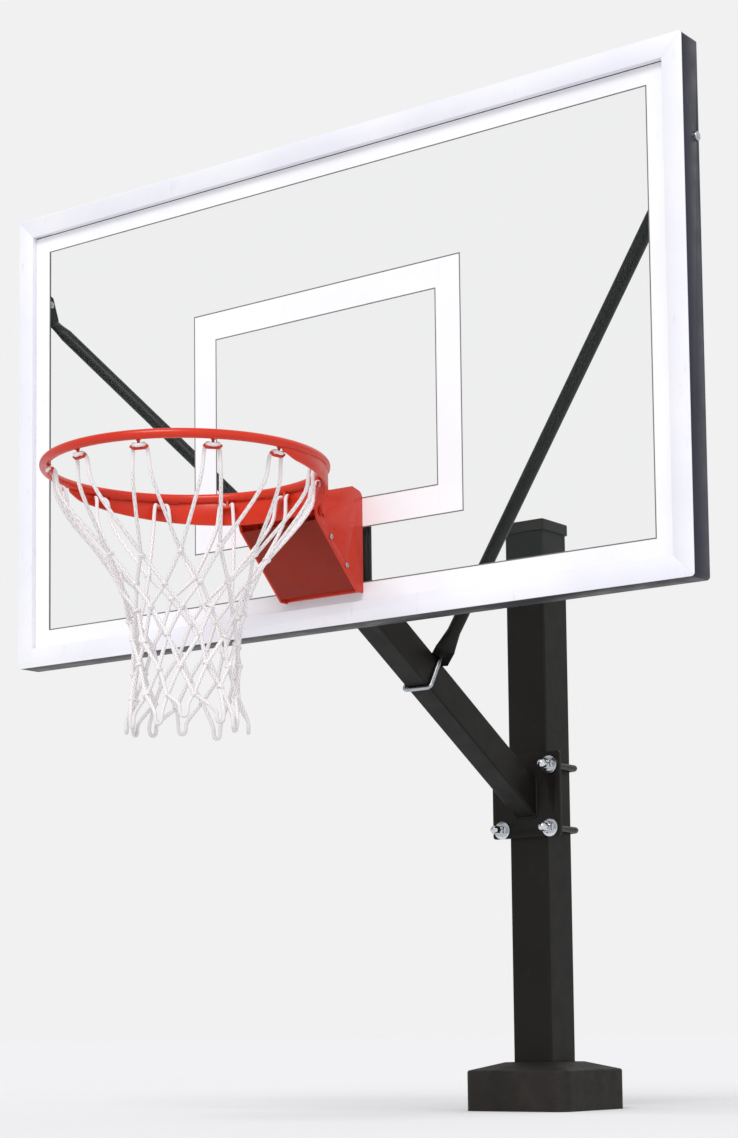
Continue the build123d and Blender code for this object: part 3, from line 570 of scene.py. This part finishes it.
def painted_ring(name, centre, half, band, front, film, material):
    """A flat rectangular ring on the glass; half and band are (sideways, upright)."""
    deselect()
    bpy.ops.mesh.primitive_plane_add(
        size=2, location=(centre[0], front, centre[1]), rotation=(math.pi / 2, 0, 0))
    ring = bpy.context.object
    ring.scale = (half[0], half[1], 1)
    settle(ring)
    bpy.ops.object.mode_set(mode="EDIT")
    bpy.ops.mesh.select_all(action="SELECT")
    bpy.ops.mesh.inset(thickness=band[0], depth=0)
    upright = (half[1] - band[1]) / (half[1] - band[0])
    bpy.ops.transform.resize(value=(1, 1, upright), center_override=(centre[0], front, centre[1]))
    bpy.ops.mesh.delete(type="FACE")
    bpy.ops.object.mode_set(mode="OBJECT")
    sheet = ring.modifiers.new("film", "SOLIDIFY")
    sheet.thickness = film
    sheet.offset = -1
    apply_modifiers(ring)
    return finished(ring, name, material, "head")


class HoopBoardPaint(bpy.types.Operator):
    """Paints the border and the shooting square on the glass, each edged by a thin grey line"""

    bl_idname = "hoop.board_paint"
    bl_label = "Border and target"

    def execute(self, context):
        board = context.scene.hoop_board
        middle = (0.0, (FRAME_LOW.z + FRAME_HIGH.z) / 2)
        outer = (FRAME_HIGH.x, (FRAME_HIGH.z - FRAME_LOW.z) / 2)
        low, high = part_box("trim_bottom")
        face = high.z - low.z
        front = GLASS_FRONT - board.film
        start = (outer[0] - face, outer[1] - face)
        inner = (outer[0] - board.border_side, outer[1] - board.border_end)
        painted_ring("border_paint", middle, start, (start[0] - inner[0], start[1] - inner[1]),
                     front, board.film, "white ink")
        half = (board.target_width / 2, board.target_height / 2)
        level = (0.0, FRAME_LOW.z + board.target_low + half[1])
        line = board.target_line
        painted_ring("target_paint", level, half, (line, line), front, board.film,
                     "white ink")
        edge, thin = board.outline, front - LINE_LIFT
        for name, centre, reach in (
            ("border_outline", middle, (inner[0] + edge, inner[1] + edge)),
            ("target_outline", level, (half[0] + edge, half[1] + edge)),
            ("target_inline", level, (half[0] - line, half[1] - line)),
        ):
            painted_ring(name, centre, reach, (edge, edge), thin, board.film,
                         "grey ink")
        return {"FINISHED"}


# ---- net ------------------------------------------------------------------------
WEAVE = 0.55                    # how far two strands pass each other, in cord radii
TIP_RISE = 20.0 * MM            # tips end within this of the longest
TIP_FLARE = (-4.0 * MM, 6.0 * MM)
KNOT_LEAN = math.radians(35.0)
KNOT_R = 1.35                   # of the knot's turn and its cord, in cord radii
KNOT_THICK = 0.92
KNOT_RUN = 8.0
# The loop at each tip, in millimetres sideways and up from its lowest point
TIP_LOOP = [(-6.5, 20.0), (-6.8, 8.0), (-4.5, 0.5), (0.0, -1.0), (4.5, 0.5), (6.8, 8.0), (6.5, 20.0)]


def net_radii():
    """Outer radius of the hanging net at each level of its solid, from top to bottom."""
    widest = {}
    for vertex in NODES["net"].data.vertices:
        drop = round(RIM.z - vertex.co.z, 4)
        reach = math.hypot(vertex.co.x - RIM.x, vertex.co.y - RIM.y)
        widest[drop] = max(widest.get(drop, 0.0), reach)
    return sorted(widest.items())


def net_radius(radii, drop):
    """The net's outer radius at any drop below the rim."""
    for (high, start), (low, end) in zip(radii, radii[1:]):
        if high <= drop <= low:
            return start + (end - start) * (drop - high) / (low - high)
    return radii[0][1] if drop < radii[0][0] else radii[-1][1]


class HoopNet(bpy.types.Operator):
    """Knots one endless cord into the net: over each hook, down through the rows, round the tips"""

    bl_idname = "hoop.net"
    bl_label = "Net"

    def execute(self, context):
        net = context.scene.hoop_net
        radii = net_radii()
        rng = random.Random(net.seed)
        half = net.cord / 2
        places = 2 * HOOK_COUNT
        knots = {}
        for row in range(1, net.rows + 1):
            for step in range(places):
                if (step + row) % 2 == 0:
                    drop = net.first_row + net.row_step * (row - 1) + rng.uniform(-1, 1) * net.slack
                    angle = HOOK_FIRST + HOOK_STEP / 2 * step
                    radius = net_radius(radii, drop) - half - rng.uniform(0.0, 0.5) * net.slack
                    knots[row, step] = (angle, radius, rng.uniform(-1, 1) * net.slack, drop)
        tips = {}
        for step in range(places):
            if (step + net.rows) % 2:
                tips[step] = (rng.uniform(-1, 1) * 2 * net.slack, net.tip - rng.uniform(0.0, TIP_RISE),
                              rng.uniform(*TIP_FLARE))

        def knot_point(row, step, outward):
            angle, radius, sideways, drop = knots[row, step % places]
            return turned(angle, radius + outward, sideways, drop)

        def tip_points(step):
            sideways, drop, flare = tips[step % places]
            angle = HOOK_FIRST + HOOK_STEP / 2 * step
            radius = net_radius(radii, drop) - half + flare
            return [turned(angle, radius, sideways + side * MM, drop - half - up * MM)
                    for side, up in TIP_LOOP]

        # Over a hook: the legs hang inside the bar and the loop passes behind the stem.
        # Each place is sideways, out from the rim's centre, and below it.
        clear = HOOK_BAR_R + half
        over = [
            (-16.0 * MM, HOOK_RING_R - 1.8 * clear, HOOK_BAR_DROP + 46 * MM),
            (-13.5 * MM, HOOK_RING_R - 1.2 * clear, HOOK_BAR_DROP + 12 * MM),
            (-12.0 * MM, HOOK_RING_R - 0.95 * clear, HOOK_BAR_DROP - 1 * MM),
            (-9.5 * MM, HOOK_RING_R + 0.4 * clear, HOOK_BAR_DROP - 1.25 * clear),
            (-3.8 * MM, HOOK_RING_R + 6.6 * MM, HOOK_BAR_DROP - 3.5 * MM),
        ]
        points, strand = [], 0
        for _ in range(HOOK_COUNT):
            hook = 2 * strand
            angle = HOOK_FIRST + HOOK_STEP / 2 * hook
            for row in range(net.rows, 0, -1):
                outward = half * (WEAVE if row % 2 else -WEAVE)
                points += [knot_point(row, hook - row, outward)] * 2
            points += [turned(angle, radius, side, drop) for side, radius, drop in over]
            points += [turned(angle, radius, -side, drop) for side, radius, drop in reversed(over)]
            for row in range(1, net.rows + 1):
                outward = half * (-WEAVE if row % 2 else WEAVE)
                points += [knot_point(row, hook + row, outward)] * 2
            points += tip_points(hook + net.rows + 1)
            strand = (strand + net.rows + 1) % HOOK_COUNT
        cord = tube_along(points, half, cyclic=True, order=3)
        stretch_uv(cord, sum((b - a).length for a, b in zip(points, points[1:] + points[:1])))

        deselect()
        bpy.ops.mesh.primitive_torus_add(
            major_radius=half * KNOT_R, minor_radius=half * KNOT_THICK, major_segments=10,
            minor_segments=6)
        wrap = bpy.context.object
        stretch_uv(wrap, half * KNOT_RUN)
        wraps = []
        for (row, step), (angle, radius, sideways, drop) in sorted(knots.items()):
            lean = KNOT_LEAN if (row + step // 2) % 2 else -KNOT_LEAN
            turn = Matrix.Rotation(angle, 4, "Z") @ Matrix.Rotation(lean, 4, "X")
            wraps.append(copy_of(wrap, Matrix.Translation(turned(angle, radius, sideways, drop)) @ turn))
        bpy.data.objects.remove(wrap)
        joined([cord] + wraps)
        finished(cord, "knotted_net", "net braid", smooth=60.0)
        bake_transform(cord)
        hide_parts("net")
        return {"FINISHED"}


# ---- springs --------------------------------------------------------------------
END_TURN = 0.98                 # the closed turns' wire against the coil's


class HoopSprings(bpy.types.Operator):
    """Winds the two return springs, with a closed turn at each end"""

    bl_idname = "hoop.springs"
    bl_label = "Return springs"

    def execute(self, context):
        metal = context.scene.hoop_metal
        low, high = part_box("springs")
        wire, radius = metal.spring_wire, metal.spring_radius
        middle = (low.y + high.y) / 2
        seat = low.z + wire
        rise = high.z - low.z - 2 * wire
        deselect()
        bpy.ops.mesh.primitive_circle_add(
            vertices=10, radius=wire, location=(radius, 0, 0), rotation=(math.pi / 2, 0, 0))
        coil = bpy.context.object
        settle(coil)
        screw = coil.modifiers.new("turns", "SCREW")
        screw.axis = "Z"
        screw.screw_offset = rise / metal.spring_turns
        screw.iterations = metal.spring_turns
        screw.steps = screw.render_steps = 24
        apply_modifiers(coil)
        ends = []
        for level in (0.0, rise):
            bpy.ops.mesh.primitive_torus_add(
                location=(0, 0, level), major_radius=radius, minor_radius=wire * END_TURN,
                major_segments=36, minor_segments=10)
            ends.append(bpy.context.object)
        joined([coil] + ends)
        settle(coil)
        close_ends(coil)
        spread = high.x - radius - wire
        other = copy_of(coil, Matrix.Translation((-spread, middle, seat)))
        coil.matrix_world = Matrix.Translation((spread, middle, seat))
        for piece, name in ((coil, "spring_right"), (other, "spring_left")):
            finished(piece, name, "spring steel", "head", smooth=60.0)
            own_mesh(piece)
            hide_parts("springs")
        return {"FINISHED"}


# ---- welds ----------------------------------------------------------------------
RIPPLES = (1.0, 0.90, 0.80)     # thickness along one ripple
ARM_ROUND = 4.0 * MM            # round of the arm's corners
STITCH_FIRST, STITCH_STEP, STITCH_HALF = 18, 24, 4    # degrees round the rim
STITCH_DROP = 0.92              # of the rod's radius
STITCH_IN = 1.2 * MM
STITCH_BEAD = 0.7               # of the arm's bead
COLLAR_R, COLLAR_THICK = 1.15, 0.5  # of a hook's radius
COLLAR_IN, COLLAR_DROP = 0.6 * MM, 1.6 * MM


def bead_along(corners, bead, ripple, cyclic=True):
    """A rippled bead of weld along straight runs between corners."""
    points, shares = [], []
    ends = corners[1:] + (corners[:1] if cyclic else [])
    for start, end in zip(corners, ends):
        steps = max(2, round((end - start).length / ripple * len(RIPPLES)))
        for step in range(steps):
            points.append(start.lerp(end, step / steps))
            shares.append(RIPPLES[step % len(RIPPLES)])
    return tube_along(points, bead, cyclic=cyclic, shares=shares)


class HoopWelds(bpy.types.Operator):
    """Lays the weld beads of the arm, the band and the net hooks"""

    bl_idname = "hoop.welds"
    bl_label = "Welds"

    def execute(self, context):
        metal = context.scene.hoop_metal
        low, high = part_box("arm_tube")
        run = (high.y - low.y) * math.tan(ARM_FALL)
        tall = high.z - low.z - run
        for name, y, top in (("arm_weld_rear", high.y, low.z + tall),
                             ("arm_weld_front", low.y, high.z)):
            x, bottom = high.x, top - tall
            corners = [(x, top - ARM_ROUND), (x - ARM_ROUND, top), (ARM_ROUND - x, top),
                       (-x, top - ARM_ROUND), (-x, bottom + ARM_ROUND), (ARM_ROUND - x, bottom),
                       (x - ARM_ROUND, bottom), (x, bottom + ARM_ROUND)]
            bead = bead_along([Vector((a, y, b)) for a, b in corners], metal.bead, metal.ripple)
            finished(bead, name, "black powder", "head", smooth=70.0)

        stitches = []
        for degrees in range(STITCH_FIRST, 180, STITCH_STEP):
            arc = [turned(math.radians(degrees) + math.radians(share), RIM_R - STITCH_IN, 0,
                          ROD_R * STITCH_DROP)
                   for share in range(-STITCH_HALF, STITCH_HALF + 1, 2)]
            stitches.append(bead_along(arc, metal.bead * STITCH_BEAD, metal.ripple, cyclic=False))
        finished(joined(stitches), "band_welds", "red gloss", "ring", smooth=70.0)

        deselect()
        bpy.ops.mesh.primitive_torus_add(
            major_radius=HOOK_BAR_R * COLLAR_R, minor_radius=HOOK_BAR_R * COLLAR_THICK,
            major_segments=16, minor_segments=8)
        collar = bpy.context.object
        root_r = RIM_R - HOOK_ROOT
        lean = math.atan2(root_r - HOOK_RING_R, HOOK_BAR_DROP - HOOK_ROOT)
        collars = []
        for step in range(HOOK_COUNT):
            angle = HOOK_FIRST + HOOK_STEP * step
            turn = Matrix.Rotation(angle, 4, "Z") @ Matrix.Rotation(lean, 4, "Y")
            place = turned(angle, root_r - COLLAR_IN, 0, HOOK_ROOT + COLLAR_DROP)
            collars.append(copy_of(collar, Matrix.Translation(place) @ turn))
        bpy.data.objects.remove(collar)
        finished(joined(collars), "hook_welds", "red gloss", "ring", smooth=70.0)
        return {"FINISHED"}


# ---- threads and screw heads ----------------------------------------------------
RIDGE_R, RIDGE_SINK = 0.46, 0.12    # a thread's ridge, in pitches
HEAD_R = 4.5 * MM
HEAD_TALL = 2.4 * MM
HEAD_DOME = 1.4 * MM
HEAD_EDGE = math.radians(60.0)
SOCKET_R = 1.7 * MM
SOCKET_DEEP = 1.5 * MM
FLUSH = 0.05 * MM               # points this near the outermost face belong to it


def thread(radius, length, pitch):
    """A screw thread up the Z axis from the origin, to be wound on a rod of that radius."""
    deselect()
    bpy.ops.mesh.primitive_circle_add(
        vertices=4, radius=pitch * RIDGE_R, location=(radius - pitch * RIDGE_SINK, 0, 0),
        rotation=(math.pi / 2, 0, 0))
    ridge = bpy.context.object
    settle(ridge)
    screw = ridge.modifiers.new("wind", "SCREW")
    screw.axis = "Z"
    screw.screw_offset = pitch
    screw.iterations = max(1, int(length / pitch))
    screw.steps = screw.render_steps = 16
    apply_modifiers(ridge)
    close_ends(ridge)
    return ridge


class HoopThreads(bpy.types.Operator):
    """Cuts threads on the bolt ends that stand out past their nuts"""

    bl_idname = "hoop.threads"
    bl_label = "Bolt threads"

    def execute(self, context):
        pitch = context.scene.hoop_metal.pitch
        low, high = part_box("rim_nuts")
        bolt_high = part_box("rim_bolts")[1]
        rim_ends = [Vector((x, high.y, z)) for x in (-RIM_BOLT_X, RIM_BOLT_X)
                    for z in (low.z + RIM_NUT_HALF, high.z - RIM_NUT_HALF)]
        self.wind("rim_bolt_threads", rim_ends, Vector((0, 1, 0)), RIM_BOLT_R,
                  bolt_high.y - high.y, pitch)
        above = Vector((0, math.sin(ARM_FALL), math.cos(ARM_FALL)))
        vertices = [v.co for v in NODES["strut_nuts"].data.vertices]
        top = max(v.dot(above) for v in vertices)
        reach = max(v.co.dot(above) for v in NODES["strut_u_bolt"].data.vertices)
        ends = []
        for side in (-1, 1):
            near = [v for v in vertices if v.x * side > 0]
            middle = sum(near, Vector()) / len(near)
            ends.append(middle + above * (top - middle.dot(above)))
        self.wind("strut_bolt_threads", ends, above, STRUT_BOLT_R, reach - top, pitch)
        return {"FINISHED"}

    def wind(self, name, ends, direction, radius, length, pitch):
        """The same thread on each end, up its rod."""
        ridge = thread(radius, length, pitch)
        turn = direction.to_track_quat("Z", "Y").to_matrix().to_4x4()
        made = [copy_of(ridge, Matrix.Translation(end) @ turn) for end in ends]
        bpy.data.objects.remove(ridge)
        finished(joined(made), name, "bright zinc", "head", smooth=30.0)


class HoopScrewHeads(bpy.types.Operator):
    """Turns the housing's screws into domed heads with a hexagonal socket"""

    bl_idname = "hoop.screw_heads"
    bl_label = "Screw heads"

    def execute(self, context):
        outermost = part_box("cover_screws")[1].x
        deselect()
        bpy.ops.mesh.primitive_cylinder_add(
            vertices=32, radius=HEAD_R, depth=HEAD_TALL, location=(0, 0, HEAD_TALL / 2))
        head = bpy.context.object
        settle(head)
        bevel = head.modifiers.new("dome", "BEVEL")
        bevel.width = HEAD_DOME
        bevel.segments = 4
        bevel.limit_method = "ANGLE"
        bevel.angle_limit = HEAD_EDGE
        apply_modifiers(head)
        bpy.ops.mesh.primitive_cylinder_add(
            vertices=6, radius=SOCKET_R, depth=2 * SOCKET_DEEP, location=(0, 0, HEAD_TALL))
        key = bpy.context.object
        cut = head.modifiers.new("socket", "BOOLEAN")
        cut.operation = "DIFFERENCE"
        cut.object = key
        apply_modifiers(head)
        bpy.data.objects.remove(key)
        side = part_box("housing_side_right")[1].x
        centres = []
        for vertex in NODES["cover_screws"].data.vertices:
            if vertex.co.x > outermost - FLUSH and not any(
                    (vertex.co - centre).length < 2 * HEAD_R for centre in centres):
                centres.append(vertex.co.copy())
        made = []
        for centre in centres:
            near = [v.co for v in NODES["cover_screws"].data.vertices
                    if v.co.x > 0 and (v.co - centre).length < 3 * HEAD_R]
            y = (min(v.y for v in near) + max(v.y for v in near)) / 2
            z = (min(v.z for v in near) + max(v.z for v in near)) / 2
            for sign in (1, -1):
                turn = Matrix.Rotation(sign * math.pi / 2, 4, "Y")
                made.append(copy_of(head, Matrix.Translation((sign * side, y, z)) @ turn))
        bpy.data.objects.remove(head)
        screws = finished(joined(made), "cover_screw_heads", "bright zinc", "head")
        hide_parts("cover_screws")
        return {"FINISHED"}


# ---- stage ----------------------------------------------------------------------
CAMERA_PLACE = Vector((2.6017, -4.0928, 0.1557))
CAMERA_YAW = 0.63796         # turned left from looking along +Y
CAMERA_PITCH = 0.09886       # tipped up
CAMERA_ROLL = -0.01125       # turned about its own line of sight
FLOOR_SIZE = 120.0


class HoopStage(bpy.types.Operator):
    """Pale floor, soft studio light and the camera"""

    bl_idname = "hoop.stage"
    bl_label = "Stage"

    def execute(self, context):
        stage = context.scene.hoop_stage
        context.scene.view_settings.view_transform = "Standard"
        deselect()
        bpy.ops.mesh.primitive_plane_add(size=FLOOR_SIZE)
        floor = bpy.context.object
        floor.name = "floor"
        paper = Finish("studio floor", {"Specular IOR Level": 0.0})
        paper.colours(paper.ranged(paper.noise(0.8, 2.0), 0.0, 1.0), tuple(stage.floor),
                      linear(235, 235, 237))
        paper.roughness(paper.noise(3.0), 0.75, 0.9)
        floor.data.materials.append(paper.material)

        world = bpy.data.worlds.new("room")
        context.scene.world = world
        world.use_nodes = True
        room = world.node_tree.nodes["Background"]
        room.inputs["Color"].default_value = (1.0, 1.0, 1.0, 1.0)
        sight = world.node_tree.nodes.new("ShaderNodeLightPath")
        level = world.node_tree.nodes.new("ShaderNodeMapRange")
        level.inputs["To Min"].default_value = stage.sky
        level.inputs["To Max"].default_value = stage.wall
        world.node_tree.links.new(sight.outputs["Is Camera Ray"], level.inputs["Value"])
        world.node_tree.links.new(level.outputs["Result"], room.inputs["Strength"])

        for name, towards, strength, softness in (
            ("key", (-1.0, 3.4, -3.4), stage.key, 30.0),
            ("side_fill", (-4.0, 1.2, -1.4), stage.fill, 60.0),
            ("back_fill", (-0.6, -3.0, -2.6), stage.fill, 60.0),
        ):
            bpy.ops.object.light_add(type="SUN", location=(0, 0, 5))
            lamp = bpy.context.object
            lamp.name = name
            lamp.data.energy = strength
            lamp.data.angle = math.radians(softness)
            lamp.rotation_euler = Vector(towards).to_track_quat("-Z", "Y").to_euler()

        ahead = Vector((-math.sin(CAMERA_YAW), math.cos(CAMERA_YAW), 0))
        right = Vector((math.cos(CAMERA_YAW), math.sin(CAMERA_YAW), 0))
        above = Vector((0, 0, 1))
        forward = ahead * math.cos(CAMERA_PITCH) + above * math.sin(CAMERA_PITCH)
        upward = above * math.cos(CAMERA_PITCH) - ahead * math.sin(CAMERA_PITCH)
        across = right * math.cos(CAMERA_ROLL) + upward * math.sin(CAMERA_ROLL)
        upward = upward * math.cos(CAMERA_ROLL) - right * math.sin(CAMERA_ROLL)
        bpy.ops.object.camera_add(location=CAMERA_PLACE)
        camera = bpy.context.object
        turn = Matrix((across, upward, -forward)).transposed().to_4x4()
        camera.matrix_world = Matrix.Translation(CAMERA_PLACE) @ turn
        camera.data.lens = stage.lens
        camera.data.shift_y = stage.shift
        context.scene.camera = camera
        return {"FINISHED"}


# ---- panel and registration -----------------------------------------------------
STEPS = (HoopCoats, HoopEasedPlates, HoopBoardPaint, HoopNet, HoopSprings, HoopWelds,
         HoopThreads, HoopScrewHeads, HoopStage)
SETTINGS = {
    "hoop_coats": HoopCoatSettings, "hoop_board": HoopBoardSettings, "hoop_net": HoopNetSettings,
    "hoop_metal": HoopMetalSettings, "hoop_stage": HoopStageSettings,
}


class HoopPanel(bpy.types.Panel):
    """Settings and building steps of the hoop"""

    bl_idname = "VIEW3D_PT_hoop"
    bl_label = "Basketball hoop"
    bl_space_type = "VIEW_3D"
    bl_region_type = "UI"
    bl_category = "Hoop"

    def draw(self, context):
        for name, group in SETTINGS.items():
            box = self.layout.box()
            for field in group.__annotations__:
                box.prop(getattr(context.scene, name), field)
        for step in STEPS:
            self.layout.operator(step.bl_idname)


def register():
    for group in SETTINGS.values():
        bpy.utils.register_class(group)
    for name, group in SETTINGS.items():
        setattr(bpy.types.Scene, name, bpy.props.PointerProperty(type=group))
    for step in STEPS:
        bpy.utils.register_class(step)
    bpy.utils.register_class(HoopPanel)


def unregister():
    bpy.utils.unregister_class(HoopPanel)
    for step in reversed(STEPS):
        bpy.utils.unregister_class(step)
    for name in SETTINGS:
        delattr(bpy.types.Scene, name)
    for group in reversed(SETTINGS.values()):
        bpy.utils.unregister_class(group)


def main():
    register()
    bpy.ops.hoop.coats()
    bpy.ops.hoop.eased_plates()
    bpy.ops.hoop.board_paint()
    bpy.ops.hoop.net()
    bpy.ops.hoop.springs()
    bpy.ops.hoop.welds()
    bpy.ops.hoop.threads()
    bpy.ops.hoop.screw_heads()
    bpy.ops.hoop.stage()


if __name__ == "__main__":
    main()
